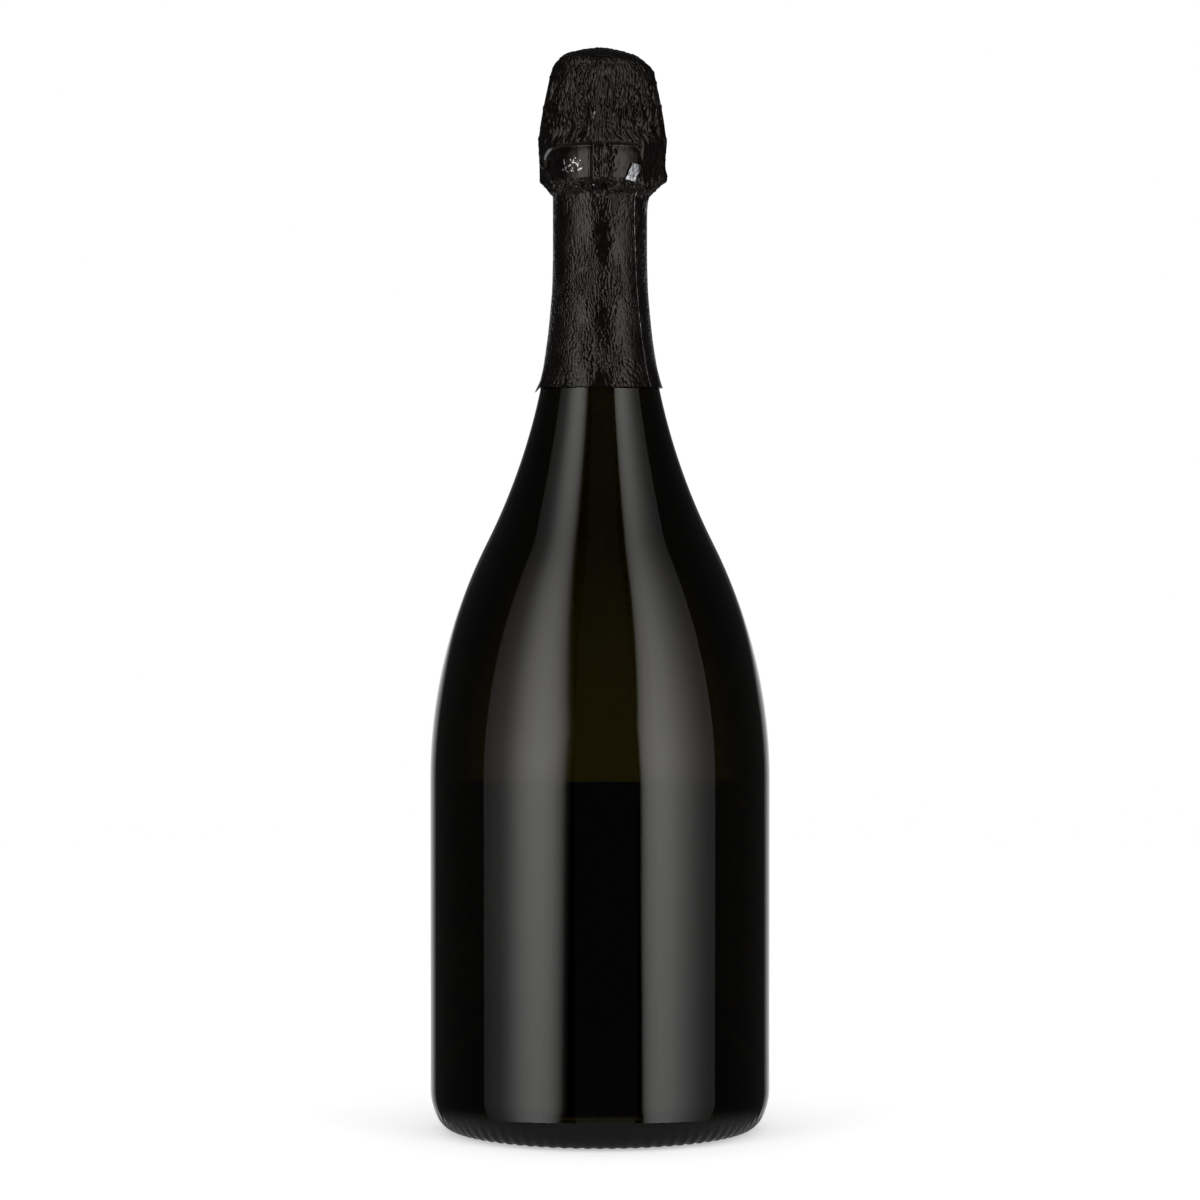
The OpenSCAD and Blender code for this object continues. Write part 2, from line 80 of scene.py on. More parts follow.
# Where the foil turns in over the top, as (radius, height above the cork).
crown_foil = [(14.9, 2.1), (12.6, 3.4), (10.2, 4.15)]


# ---------------------------------------------------------------- materials

def linear(colour):
    """An sRGB hex colour as linear light."""
    parts = [int(colour[i:i + 2], 16) / 255 for i in (1, 3, 5)]
    return [p / 12.92 if p <= 0.04045 else ((p + 0.055) / 1.055) ** 2.4 for p in parts] + [1]


def add(tree, kind, inputs=None, **settings):
    """Adds one node, with its settings, and links or sets its inputs."""
    node = tree.nodes.new("ShaderNode" + kind)
    for name, value in settings.items():
        setattr(node, name, value)
    for name, value in (inputs or {}).items():
        if isinstance(value, bpy.types.NodeSocket):
            tree.links.new(value, node.inputs[name])
        else:
            node.inputs[name].default_value = value
    return node


def set_stops(ramp, stops):
    """Gives a colour ramp its stops, as (position, linear colour) from its start to its end."""
    elements = ramp.color_ramp.elements
    for n, (at, colour) in enumerate(stops):
        if n == 0:
            stop = elements[0]
        elif n == len(stops) - 1:
            stop = elements[-1]
        else:
            stop = elements.new(at)
        stop.position, stop.color = at, colour


def new_finish(name):
    """An empty material and its node tree."""
    finish = bpy.data.materials.new(name)
    finish.use_nodes = True
    finish.node_tree.nodes.clear()
    return finish, finish.node_tree


def finish_surface(tree, shader, volume=None):
    """Ends a material's tree in its shader, and in the volume inside it."""
    out = add(tree, "OutputMaterial", {"Surface": shader.outputs[0]})
    if volume:
        tree.links.new(volume.outputs[0], out.inputs["Volume"])


def bottle_glass():
    """Dark green soda-lime glass, blown in a mould: polished, faintly wavy, black in depth."""
    finish, tree = new_finish("dark_green_bottle_glass")
    place = add(tree, "TexCoord").outputs["Object"]
    # waves of the blown surface, about 9 mm apart and taller than wide
    stretched = add(tree, "Mapping", {"Vector": place, "Scale": (110, 110, 45)})
    waves = add(tree, "TexNoise", {"Vector": stretched.outputs[0], "Scale": 1, "Detail": 1.5})
    wavy = add(tree, "Bump", {"Height": waves.outputs[0], "Strength": 1, "Distance": 0.02 * MM})
    # the wall is thicker, and so darker, from the shoulder up
    height = add(tree, "SeparateXYZ", {"Vector": place})
    up = add(tree, "MapRange", {"Value": height.outputs["Z"], "From Min": 0.16, "From Max": 0.245})
    colour = add(tree, "MixRGB", {
        "Fac": up.outputs[0], 1: linear("#8a864a"), 2: linear("#75713e")})
    glass = add(tree, "BsdfPrincipled", {
        "Base Color": colour.outputs[0], "Roughness": 0.015, "IOR": 1.5, "Transmission Weight": 1,
        "Normal": wavy.outputs[0]})
    tint = add(tree, "VolumeAbsorption", {"Color": (0.25, 0.24, 0, 1), "Density": 250})
    finish_surface(tree, glass, tint)
    return finish


def wine():
    """Sparkling wine: pale straw liquid, which fills the bottle to the neck."""
    finish, tree = new_finish("sparkling_wine")
    liquid = add(tree, "BsdfPrincipled", {
        "Base Color": linear("#fbf3d2"), "Roughness": 0, "IOR": 1.34, "Transmission Weight": 1})
    tint = add(tree, "VolumeAbsorption", {"Color": (0.95, 0.85, 0.5, 1), "Density": 6})
    finish_surface(tree, liquid, tint)
    return finish


def flat_sheet(tree):
    """Millimetres on the flat foil, before it was wrapped round the neck."""
    return add(tree, "TexCoord").outputs["UV"]


def seen_from_above(tree):
    """Millimetres across the top of the bottle."""
    place = add(tree, "TexCoord").outputs["Object"]
    return add(tree, "Mapping", {"Vector": place, "Scale": (1000, 1000, 1000)}).outputs[0]


def embossed_foil(name, sheet, cell_w, cell_h, depth, shallow, seam_end=0):
    """Aluminium foil, lacquered black and embossed with small upright cells: satin, smooth if taut.

    The cells are cell_w by cell_h millimetres and pressed in by depth, in places only by the
    share shallow of it. The lap's cut edge shows bare metal up to the height seam_end.
    """
    finish, tree = new_finish(name)
    place = sheet(tree)
    # the rows of cells wander over about 8 mm
    drift = add(tree, "TexNoise", {"Vector": place, "Scale": 0.12, "Detail": 2})
    moved = add(tree, "VectorMath", {0: drift.outputs["Color"], 1: (5, 4, 0), 2: place},
                operation="MULTIPLY_ADD")
    scaled = add(tree, "Mapping", {
        "Vector": moved.outputs[0], "Scale": (1 / cell_w, 1 / cell_h, 1)})
    cells = add(tree, "TexVoronoi", {"Vector": scaled.outputs[0], "Scale": 1, "Randomness": 0.8},
                voronoi_dimensions="2D")
    hollow = add(tree, "Math", {0: cells.outputs["Distance"], 1: cells.outputs["Distance"]},
                 operation="MULTIPLY")
    fine = add(tree, "TexNoise", {"Vector": place, "Scale": 2.4, "Detail": 2})
    height = add(tree, "Math", {0: fine.outputs[0], 1: 0.1, 2: hollow.outputs[0]},
                 operation="MULTIPLY_ADD")
    # it is pressed deeper in some places than in others, about 15 mm apart, and is stretched
    # out where it is taut
    areas = add(tree, "TexNoise", {"Vector": place, "Scale": 0.07, "Detail": 1})
    pressed = add(tree, "MapRange", {
        "Value": areas.outputs[0], "From Min": 0.38, "From Max": 0.58,
        "To Min": shallow, "To Max": 1})
    taut = add(tree, "Attribute", attribute_name="taut")
    slack = add(tree, "MapRange", {"Value": taut.outputs["Fac"], "To Min": 1, "To Max": 0.06})
    share = add(tree, "Math", {0: pressed.outputs[0], 1: slack.outputs[0]}, operation="MULTIPLY")
    grain = add(tree, "Bump", {
        "Height": height.outputs[0], "Strength": share.outputs[0], "Distance": depth * MM},
        invert=True)
    crinkle = add(tree, "TexNoise", {"Vector": place, "Scale": 0.35, "Detail": 2, "Roughness": 0.5})
    dents = add(tree, "Bump", {
        "Height": crinkle.outputs[0], "Strength": 1, "Distance": 0.3 * MM,
        "Normal": grain.outputs[0]})
    # the lacquer is cracked on the sharpest creases
    worn = add(tree, "Attribute", attribute_name="worn")
    cracks = add(tree, "TexVoronoi", {"Vector": moved.outputs[0], "Scale": 0.55},
                 voronoi_dimensions="2D", feature="DISTANCE_TO_EDGE")
    thin = add(tree, "Math", {0: cracks.outputs["Distance"], 1: 0.09}, operation="LESS_THAN")
    patches = add(tree, "TexNoise", {"Vector": place, "Scale": 1.3, "Detail": 1})
    patchy = add(tree, "Math", {0: patches.outputs[0], 1: worn.outputs["Fac"]},
                 operation="MULTIPLY")
    some = add(tree, "Math", {0: patchy.outputs[0], 1: 0.5}, operation="GREATER_THAN")
    cracked = add(tree, "Math", {0: thin.outputs[0], 1: some.outputs[0]}, operation="MULTIPLY")
    # the cut edge of the lap, the sheet's last 0.2 mm, shows bare metal here and there
    across = add(tree, "SeparateXYZ", {"Vector": place})
    at_lap = add(tree, "Math", {0: across.outputs["X"], 1: sheet_w - 0.2}, operation="GREATER_THAN")
    on_neck = add(tree, "Math", {0: across.outputs["Y"], 1: seam_end}, operation="LESS_THAN")
    dashes = add(tree, "Math", {0: fine.outputs[0], 1: 0.4}, operation="GREATER_THAN")
    on_lap = add(tree, "Math", {0: at_lap.outputs[0], 1: on_neck.outputs[0]}, operation="MULTIPLY")
    cut_edge = add(tree, "Math", {0: on_lap.outputs[0], 1: dashes.outputs[0]},
                   operation="MULTIPLY")
    # the rolled rim of the left window gets a painted highlight: it is painted lighter and partly
    # metallic
    rim_highlight = add(tree, "Attribute", attribute_name="rim_highlight")
    edge = add(tree, "MapRange", {
        "Value": rim_highlight.outputs["Fac"], "From Min": 0.3, "From Max": 0.9, "To Max": 0.6})
    lost = add(tree, "Math", {0: cracked.outputs[0], 1: cut_edge.outputs[0]}, operation="MAXIMUM")
    # bare metal at the cracks and the cut edge, and the painted highlight on the left window's rim
    bare = add(tree, "Math", {0: lost.outputs[0], 1: edge.outputs[0]}, operation="MAXIMUM")
    # painted shade: the lacquer is painted darker down in each cell's hollow
    lacquer = add(tree, "MixRGB", {
        "Fac": hollow.outputs[0], 1: linear("#0d0a09"), 2: linear("#030202")})
    shade = add(tree, "MixRGB", {
        "Fac": bare.outputs[0], 1: lacquer.outputs[0], 2: linear("#c4c4c4")})
    rough = add(tree, "MapRange", {
        "Value": fine.outputs[0], "From Min": 0.3, "From Max": 0.7, "To Min": 0.09, "To Max": 0.17})
    duller = add(tree, "Math", {0: bare.outputs[0], 1: 0.3, 2: rough.outputs[0]},
                 operation="MULTIPLY_ADD")
    foil = add(tree, "BsdfPrincipled", {
        "Base Color": shade.outputs[0], "Roughness": duller.outputs[0], "IOR": 1.5,
        "Metallic": bare.outputs[0], "Specular IOR Level": 0.33,
        "Specular Tint": linear("#fff3ea"), "Normal": dents.outputs[0]})
    finish_surface(tree, foil)
    return finish


def bare_foil():
    """The bare aluminium underside of the foil, folded out as the tear tab: bright and creased."""
    finish, tree = new_finish("bare_aluminium_foil")
    place = add(tree, "TexCoord").outputs["Object"]
    creases = add(tree, "TexNoise", {"Vector": place, "Scale": 500, "Detail": 3})
    bump = add(tree, "Bump", {"Height": creases.outputs[0], "Strength": 1, "Distance": 0.07 * MM})
    metal = add(tree, "BsdfPrincipled", {
        "Base Color": linear("#c6c7ca"), "Metallic": 1, "Roughness": 0.36,
        "Normal": bump.outputs[0]})
    finish_surface(tree, metal)
    return finish


def steel_wire():
    """Galvanised steel wire, drawn: grey and bright, with duller specks of zinc about 1 mm wide."""
    finish, tree = new_finish("galvanised_steel_wire")
    place = add(tree, "TexCoord").outputs["Object"]
    spots = add(tree, "TexNoise", {"Vector": place, "Scale": 900, "Detail": 3})
    rough = add(tree, "MapRange", {
        "Value": spots.outputs[0], "From Min": 0.3, "From Max": 0.7,
        "To Min": 0.24, "To Max": 0.45})
    shade = add(tree, "MixRGB", {
        "Fac": spots.outputs[0], 1: linear("#b9bcc2"), 2: linear("#8e9196")})
    bump = add(tree, "Bump", {"Height": spots.outputs[0], "Strength": 1, "Distance": 0.02 * MM})
    metal = add(tree, "BsdfPrincipled", {
        "Base Color": shade.outputs[0], "Metallic": 1, "Roughness": rough.outputs[0],
        "Normal": bump.outputs[0]})
    finish_surface(tree, metal)
    return finish


def lacquered_plate():
    """Tinplate cap, lacquered black: smooth and glossy, with faint orange peel."""
    finish, tree = new_finish("black_lacquered_tinplate")
    place = add(tree, "TexCoord").outputs["Object"]
    peel = add(tree, "TexNoise", {"Vector": place, "Scale": 1100, "Detail": 1})
    bump = add(tree, "Bump", {"Height": peel.outputs[0], "Strength": 1, "Distance": 0.008 * MM})
    shade = add(tree, "MixRGB", {
        "Fac": peel.outputs[0], 1: linear("#1a1a1c"), 2: linear("#232326")})
    lacquer = add(tree, "BsdfPrincipled", {
        "Base Color": shade.outputs[0], "Roughness": 0.2, "IOR": 1.5, "Coat Weight": 0.5,
        "Coat Roughness": 0.08, "Normal": bump.outputs[0]})
    finish_surface(tree, lacquer)
    return finish


def agglomerate_cork():
    """Agglomerated cork: granules of 2 to 3 mm, pressed and glued, tan with flecks of bark."""
    finish, tree = new_finish("agglomerated_cork")
    place = add(tree, "TexCoord").outputs["Object"]
    granule = {"Vector": place, "Scale": 1000 / 2.4}
    granules = add(tree, "TexVoronoi", granule)
    edges = add(tree, "TexVoronoi", granule, feature="DISTANCE_TO_EDGE")
    tone = add(tree, "SeparateColor", {"Color": granules.outputs["Color"]})
    ramp = add(tree, "ValToRGB", {"Fac": tone.outputs[0]})
    set_stops(ramp, ((0.05, linear("#8a6238")), (0.35, linear("#c0935e")),
                     (0.9, linear("#d8ae78"))))
    seam = add(tree, "MapRange", {"Value": edges.outputs[0], "From Min": 0, "From Max": 0.08})
    shade = add(tree, "MixRGB", {
        "Fac": seam.outputs[0], 1: linear("#6d4b2a"), 2: ramp.outputs[0]})
    pores = add(tree, "TexNoise", {"Vector": place, "Scale": 2500, "Detail": 3})
    height = add(tree, "Math", {0: pores.outputs[0], 1: 0.25, 2: seam.outputs[0]},
                 operation="MULTIPLY_ADD")
    bump = add(tree, "Bump", {"Height": height.outputs[0], "Strength": 0.7, "Distance": 0.12 * MM})
    cork = add(tree, "BsdfPrincipled", {
        "Base Color": shade.outputs[0], "Roughness": 0.75, "IOR": 1.45, "Normal": bump.outputs[0]})
    finish_surface(tree, cork)
    return finish


def natural_cork():
    """A disc cut from natural cork bark: even honey brown, with dark lenticels across it."""
    finish, tree = new_finish("natural_cork")
    place = add(tree, "TexCoord").outputs["Object"]
    across = add(tree, "Mapping", {"Vector": place, "Scale": (260, 900, 320)})
    grain = add(tree, "TexNoise", {
        "Vector": across.outputs[0], "Scale": 1, "Detail": 4, "Roughness": 0.6})
    ramp = add(tree, "ValToRGB", {"Fac": grain.outputs[0]})
    set_stops(ramp, ((0.32, linear("#7a5330")), (0.5, linear("#cda26c"))))
    bump = add(tree, "Bump", {"Height": grain.outputs[0], "Strength": 0.8, "Distance": 0.15 * MM})
    cork = add(tree, "BsdfPrincipled", {
        "Base Color": ramp.outputs[0], "Roughness": 0.7, "IOR": 1.45, "Normal": bump.outputs[0]})
    finish_surface(tree, cork)
    return finish


def gold_keylines(tree, place):
    """1 on the two gold lines inside the label's edge, measured in millimetres along the glass."""
    parts = add(tree, "SeparateXYZ", {"Vector": place})
    turn = add(tree, "Math", {0: parts.outputs["X"], 1: parts.outputs["Y"]}, operation="ARCTAN2")
    across = add(tree, "Math", {0: turn.outputs[0], 1: body_r}, operation="MULTIPLY")
    side = add(tree, "Math", {0: across.outputs[0]}, operation="ABSOLUTE")
    up = add(tree, "Math", {0: parts.outputs["Z"], 1: 1000, 2: -label_z - label_h / 2},
             operation="MULTIPLY_ADD")
    rise = add(tree, "Math", {0: up.outputs[0]}, operation="ABSOLUTE")
    # how far past the middles of the rounded corners, and from that how far in from the edge
    x = add(tree, "Math", {0: side.outputs[0], 1: label_w / 2 - label_corner},
            operation="SUBTRACT")
    y = add(tree, "Math", {0: rise.outputs[0], 1: label_h / 2 - label_corner},
            operation="SUBTRACT")
    x0 = add(tree, "Math", {0: x.outputs[0], 1: 0}, operation="MAXIMUM")
    y0 = add(tree, "Math", {0: y.outputs[0], 1: 0}, operation="MAXIMUM")
    xx = add(tree, "Math", {0: x0.outputs[0], 1: x0.outputs[0]}, operation="MULTIPLY")
    square = add(tree, "Math", {0: y0.outputs[0], 1: y0.outputs[0], 2: xx.outputs[0]},
                 operation="MULTIPLY_ADD")
    round_part = add(tree, "Math", {0: square.outputs[0]}, operation="SQRT")
    larger = add(tree, "Math", {0: x.outputs[0], 1: y.outputs[0]}, operation="MAXIMUM")
    flat_part = add(tree, "Math", {0: larger.outputs[0], 1: 0}, operation="MINIMUM")
    reach = add(tree, "Math", {0: round_part.outputs[0], 1: flat_part.outputs[0]}, operation="ADD")
    inset = add(tree, "Math", {0: label_corner, 1: reach.outputs[0]}, operation="SUBTRACT")
    lines = []
    for middle, half in ((2.2, 0.35), (3.6, 0.15)):
        off = add(tree, "Math", {0: inset.outputs[0], 1: middle}, operation="SUBTRACT")
        gap = add(tree, "Math", {0: off.outputs[0]}, operation="ABSOLUTE")
        lines.append(add(tree, "Math", {0: gap.outputs[0], 1: half}, operation="LESS_THAN"))
    both = add(tree, "Math", {0: lines[0].outputs[0], 1: lines[1].outputs[0]}, operation="MAXIMUM")
    return both.outputs[0]


def label_paper():
    """Uncoated charcoal label paper with a fine tooth, and thin keylines of gold hot foil."""
    finish, tree = new_finish("charcoal_label_paper")
    place = add(tree, "TexCoord").outputs["Object"]
    fibres = add(tree, "TexNoise", {
        "Vector": place, "Scale": 1600, "Detail": 4, "Roughness": 0.65})
    shade = add(tree, "MixRGB", {
        "Fac": fibres.outputs[0], 1: linear("#232327"), 2: linear("#303035")})
    line = gold_keylines(tree, place)
    colour = add(tree, "MixRGB", {"Fac": line, 1: shade.outputs[0], 2: linear("#b08d4a")})
    rough = add(tree, "MapRange", {"Value": line, "To Min": 0.8, "To Max": 0.3})
    tooth = add(tree, "Math", {0: fibres.outputs[0], 1: 0.5, 2: line}, operation="MULTIPLY_ADD")
    bump = add(tree, "Bump", {"Height": tooth.outputs[0], "Strength": 0.8, "Distance": 0.04 * MM})
    paper = add(tree, "BsdfPrincipled", {
        "Base Color": colour.outputs[0], "Roughness": rough.outputs[0], "Metallic": line,
        "IOR": 1.5, "Normal": bump.outputs[0]})
    finish_surface(tree, paper)
    return finish


# ---------------------------------------------------------------- making pieces

def add_object(name, bm, finish):
    """Turns a bmesh into an object of one material, at the world's origin."""
    mesh = bpy.data.meshes.new(name)
    bm.to_mesh(mesh)
    bm.free()
    mesh.materials.append(finish)
    thing = bpy.data.objects.new(name, mesh)
    bpy.context.scene.collection.objects.link(thing)
    return thing


def piece_from(name, bm, body, slot, finish, *nodes):
    """Makes the finished mesh a piece that rides on its body, and stands for its CAD nodes."""
    piece = add_object(name, bm, finish)
    piece.data.polygons.foreach_set("use_smooth", [True] * len(piece.data.polygons))
    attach(piece, body)
    if nodes:
        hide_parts(*nodes)
    return piece


def thicken(piece, thickness, offset):
    """Gives a sheet its thickness in millimetres: inwards with offset -1, outwards with 1."""
    thick = piece.modifiers.new("sheet_thickness", "SOLIDIFY")
    thick.thickness, thick.offset = thickness * MM, offset


def arc(cx, cy, r, a0, a1, n):
    """Points on an arc of n steps, from a0 to a1 degrees."""
    return [(cx + r * math.cos(math.radians(a0 + (a1 - a0) * i / n)),
             cy + r * math.sin(math.radians(a0 + (a1 - a0) * i / n))) for i in range(n + 1)]


def turned(profile, steps):
    """Spins a profile of (radius, height) an eighth of the way round, and doubles it thrice."""
    bm = bmesh.new()
    row = [bm.verts.new((r * MM, 0, z * MM)) for r, z in profile]
    edges = [bm.edges.new(pair) for pair in zip(row, row[1:])]
    bmesh.ops.spin(bm, geom=row + edges, cent=(0, 0, 0), axis=(0, 0, 1), angle=math.pi / 4,
                   steps=steps // 8)
    for part in (math.pi / 4, math.pi / 2, math.pi):
        copy = bmesh.ops.duplicate(bm, geom=bm.verts[:] + bm.edges[:] + bm.faces[:])["geom"]
        bmesh.ops.rotate(bm, verts=[g for g in copy if isinstance(g, bmesh.types.BMVert)],
                         cent=(0, 0, 0), matrix=Matrix.Rotation(part, 3, "Z"))
    bmesh.ops.remove_doubles(bm, verts=bm.verts[:], dist=1e-6)
    bmesh.ops.recalc_face_normals(bm, faces=bm.faces[:])
    return bm


def face_out(bm):
    """Turns an open sheet's faces away from the bottle's axis."""
    bm.normal_update()
    if sum(f.normal.dot(f.calc_center_median() * Vector((1, 1, 0))) for f in bm.faces) < 0:
        bmesh.ops.reverse_faces(bm, faces=bm.faces[:])


def sharpen_border(bm):
    """Keeps the cut edge of a sheet crisp."""
    for edge in bm.edges:
        edge.smooth = not edge.is_boundary


# ---------------------------------------------------------------- glass and wine

def shoulder_curve(r0, z0, r1, ra, rb, n):
    """The shoulder's arc and the neck's arc, which touch."""
    rise = math.sqrt((ra + rb) ** 2 - (ra + rb - r0 + r1) ** 2)
    turn = math.degrees(math.asin(rise / (ra + rb)))
    return arc(r0 - ra, z0, ra, 0, turn, n) + arc(r1 + rb, z0 + rise, rb, 180 + turn, 180, n)


def dome(r_foot, z_foot, z_top, r_end, n):
    """The punt's dome, from its top out to r_end. It meets z_foot at r_foot."""
    return [(r_end * i / n, z_foot + (z_top - z_foot)
             * math.cos(math.pi / 2 * (r_end * i / n / r_foot) ** punt_power))
            for i in range(n + 1)]


def glass_outline():
    """The glass's outside, from the top of the punt to the lip."""
    groove_r = bead_r - 1
    heel = [(body_r - heel_in + heel_in * math.cos(math.radians(90 * i / 20)),
             heel_h - heel_h * math.sin(math.radians(90 * i / 20))) for i in range(20, -1, -1)]
    foot = [(punt_r + punt_edge + bearing_w * i / 4, 0) for i in range(1, 4)]
    ring_top = ring_z + ring_h
    bead_z = mouth_z - bead_h
    return (dome(punt_r, punt_edge, punt_h, punt_r, 24)
            + arc(punt_r + punt_edge, punt_edge, punt_edge, 180, 270, 5)[1:] + foot + heel
            + shoulder_curve(body_r, shoulder_z, neck_r, shoulder_arc, neck_arc, 26)
            + [(neck_r, ring_z)]
            + arc(ring_r - ring_edge, ring_z + ring_edge, ring_edge, -90, 0, 5)
            + arc(ring_r - ring_top_edge, ring_top - ring_top_edge, ring_top_edge, 0, 90, 7)
            + [(groove_r, ring_top + 1), (groove_r, bead_z)]
            + arc(bead_r - bead_edge, bead_z + bead_edge, bead_edge, -60, 0, 4)
            + arc(bead_r - bead_edge, mouth_z - bead_edge, bead_edge, 0, 90, 6))


def inside_curve(grow, top):
    """The hollow's outline from its middle up to a height, pushed outwards by grow."""
    inner_r = body_r - wall
    trough_r = punt_r + 1
    floor_r = trough_r + 5.5
    trough_w = (inner_r - trough_r) / 2
    bore = shoulder_curve(inner_r, shoulder_z - 1, bore_r, shoulder_arc - wall, neck_arc + wall, 22)
    curve = (dome(floor_r, -grow, punt_h + punt_t - grow, trough_r, 16)[:-1]
             + arc(trough_r + trough_w, 13, trough_w + grow, 180, 360, 12)
             + [(r + grow, z) for r, z in bore])
    return [(r, z) for r, z in curve if z <= top]


def make_glass():
    """The bottle, with the knurls that the mould cuts round its bearing ring and lower heel."""
    seat_z = mouth_z - cork_in - 1
    inside = inside_curve(0, mouth_z) + [(mouth_r, seat_z)] + arc(
        mouth_r + lip_edge, mouth_z - lip_edge, lip_edge, 180, 90, 4)
    bm = turned(glass_outline() + inside[::-1], 480)
    bearing_r = punt_r + punt_edge
    knurls, knurl_depth, knurl_top = 80, 0.35, 8.5          # about 4 mm apart round the ring
    slant = 0.7                                              # they are cut in and up alike
    for v in bm.verts:
        r, z = math.hypot(v.co.x, v.co.y) / MM, v.co.z / MM
        if r > bearing_r and z < knurl_top and (r > 53.5 or z < 4):
            fade = min(1, (knurl_top - z) / 6) * min(1, (r - bearing_r) / 2)
            wave = 0.5 - 0.5 * math.cos(knurls * math.atan2(v.co.y, v.co.x))
            cut = knurl_depth * fade * wave * slant
            v.co.x -= v.co.x / r * cut
            v.co.y -= v.co.y / r * cut
            v.co.z += cut * MM
    piece_from("magnum_glass", bm, "bottle", "glass", bottle_glass(), "bottle_glass")


def make_wine():
    """The wine reaches a hair into the glass, so that no film of air shows between them."""
    fill = 292
    curve = inside_curve(0.15, fill)
    bm = turned(curve + [(curve[-1][0], fill), (0, fill)], 128)
    piece_from("sparkling_wine", bm, "bottle", "glass", wine())


# ---------------------------------------------------------------- foil capsule

def wrapped(a, period):
    """An angle brought to within half a period of 0."""
    return a - period * math.floor(a / period + 0.5)


def smooth(x):
    """0 below 0, 1 above 1, and eased between."""
    u = min(1, max(0, x))
    return u * u * (3 - 2 * u)


def near(x, middle, reach):
    """1 at the middle, fading smoothly to 0 at reach."""
    return smooth(1 - abs(x - middle) / reach)


def crumple(a, z, size, seed):
    """Ridged noise round the sleeve, 0 to 1, in cells of about size millimetres."""
    turn = math.radians(a)
    place = Vector((19 * math.cos(turn), 19 * math.sin(turn), z * 0.6)) / size
    return 1 - abs(noise.noise(place + Vector((seed, 0, 0)))) * 2


def tent(peak, valley, a):
    """The radius of foil that falls straight from a peak, a degrees away, to the round valley."""
    if peak <= valley:
        return valley
    return valley / math.cos(math.radians(max(0, math.degrees(math.acos(valley / peak)) - a)))


def lap_seam(z):
    """The lap seam's direction: it leans as it goes up the neck."""
    return 54 - 9 * min(1, max(0, (z - hem_z) / 65))


def lap(f, z):
    """1 on the foil's second layer at the seam, fading round the neck."""
    c = (lap_seam(z) - f) % 360
    return 1 if c <= lap_turn else max(0, 1 - (c - lap_turn) / 40)


def foil_r(level, f):
    """The foil's radius in a direction, for a level of [height, leg, loop, between, pleat, lap]."""
    z, leg, loop, between, wave, layers = level
    return (max(tent(leg, between, abs(wrapped(f - leg_turn, 90))),
                tent(loop, between, abs(wrapped(f - loop_at, 360))))
            + wave * math.cos(math.radians(pleats * (f + FRONT))) + layers * foil_t * lap(f, z))


def taut_depth(f, z):
    """How far inside a taut window a place is, in millimetres. A window is a lens, round-ended."""
    best = -9
    for start, end, start_round, end_round in taut_windows:
        s = min((f - start) / start_round, (end - f) / end_round, 1)
        if s > 0:
            best = max(best, taut_half * math.sqrt(1 - (1 - s) ** 2) - abs(z - taut_z))
        else:
            best = max(best, -math.hypot(z - taut_z, s * 6))
    return best


def skirt_crease(f, z):
    """What the creases add to the skirt's radius and height."""
    low = near(z, hem_z, 16)
    out = 0.05 * crumple(f, z, 7, 3)
    # the upright crease at the front, the waves of the hem, and its turned corner at the left
    out += 0.3 * near(f, -4, 2.5) * near(z, hem_z + 8, 12)
    out += 0.35 * low * near(f, -72, 16) + 0.15 * low * near(f, 74, 16)
    out += 0.12 * low * math.sin(math.radians(5 * f + 40))
    out += near(z, hem_z, 4) * near(f, -86, 10)
    return out, -1.5 * near(z, hem_z, 5) * near(f, -86, 12)


def collar_crease(f, z):
    """The folds where the foil is drawn in under the ring, and the bulge at the right."""
    fold = (1.4 * (crumple(f + 1.2 * z, z * 0.4, 1.9, 8) - 0.7)
            + 0.7 * (crumple(f, z, 1.1, 14) - 0.7))
    return fold * near(z, ring_z - 2, 5) + 0.9 * near(f, 85, 22) * near(z, ring_z + 2, 5)


def drawn_in(f, z):
    """How far the hood's wrinkles lean: to its front ridge on their way down, then back."""
    ahead = f - leg_turn
    side = min(1, max(-1, ahead / 20)) * smooth((100 - abs(ahead)) / 30)
    drop = ring_z + 28 - z
    return side * (min(10, max(0, drop)) - 2.2 * min(4.5, max(0, drop - 10)))


def hood_crease(f, z):
    """The wrinkles above the ring: upright and wavy, and pebbles at the crown."""
    above = smooth((z - ring_z - 12) / 5)
    crown = smooth((z - cork_top + 7) / 5)
    lean = f + drawn_in(f, z)
    leg = abs(wrapped(f - leg_turn, 90))
    out = 0.6 * (crumple(lean, z * 0.6, 3.4, 1) - 0.66) * above * smooth((cork_top - 2 - z) / 5)
    out += 0.85 * (crumple(lean, z * 0.6, 1.5, 31) - 0.66) * above * (1 - crown)
    out += 0.4 * (crumple(f, z * 1.6, 1.3, 17) - 0.66) * crown
    # along each leg, low at the left of the front, beside the front leg, and right of the tab
    out += 0.5 * (crumple(f, z, 1.6, 5) - 0.66) * near(leg, 0, 8) * (0.3 + 0.2 * above)
    out += 0.55 * (crumple(f, z, 1.5, 21) - 0.7) * near(f, -36, 21) * near(z, ring_z + 4.5, 5)
    out += (0.8 * (crumple(f, z, 1.3, 19) - 0.6) * near(f, 5, 12)
            * smooth((z - ring_z - 1) / 3) * (1 - above))
    out += 0.45 * near(f, 49, 2) * near(z, ring_z + 12, 5)
    return max(out, -0.1) if leg < 8 else out


def glass_under(z):
    """The glass's radius under the foil, at the top of the neck and on the ring."""
    z += 0.4                                       # the foil bridges the ring's underside
    if not ring_z < z < ring_z + ring_h:
        return neck_r
    low = max(0, ring_z + ring_edge - z)
    high = max(0, z - ring_z - ring_h + ring_top_edge)
    return (ring_r - ring_edge + math.sqrt(ring_edge ** 2 - low ** 2)
            - ring_top_edge + math.sqrt(ring_top_edge ** 2 - high ** 2))


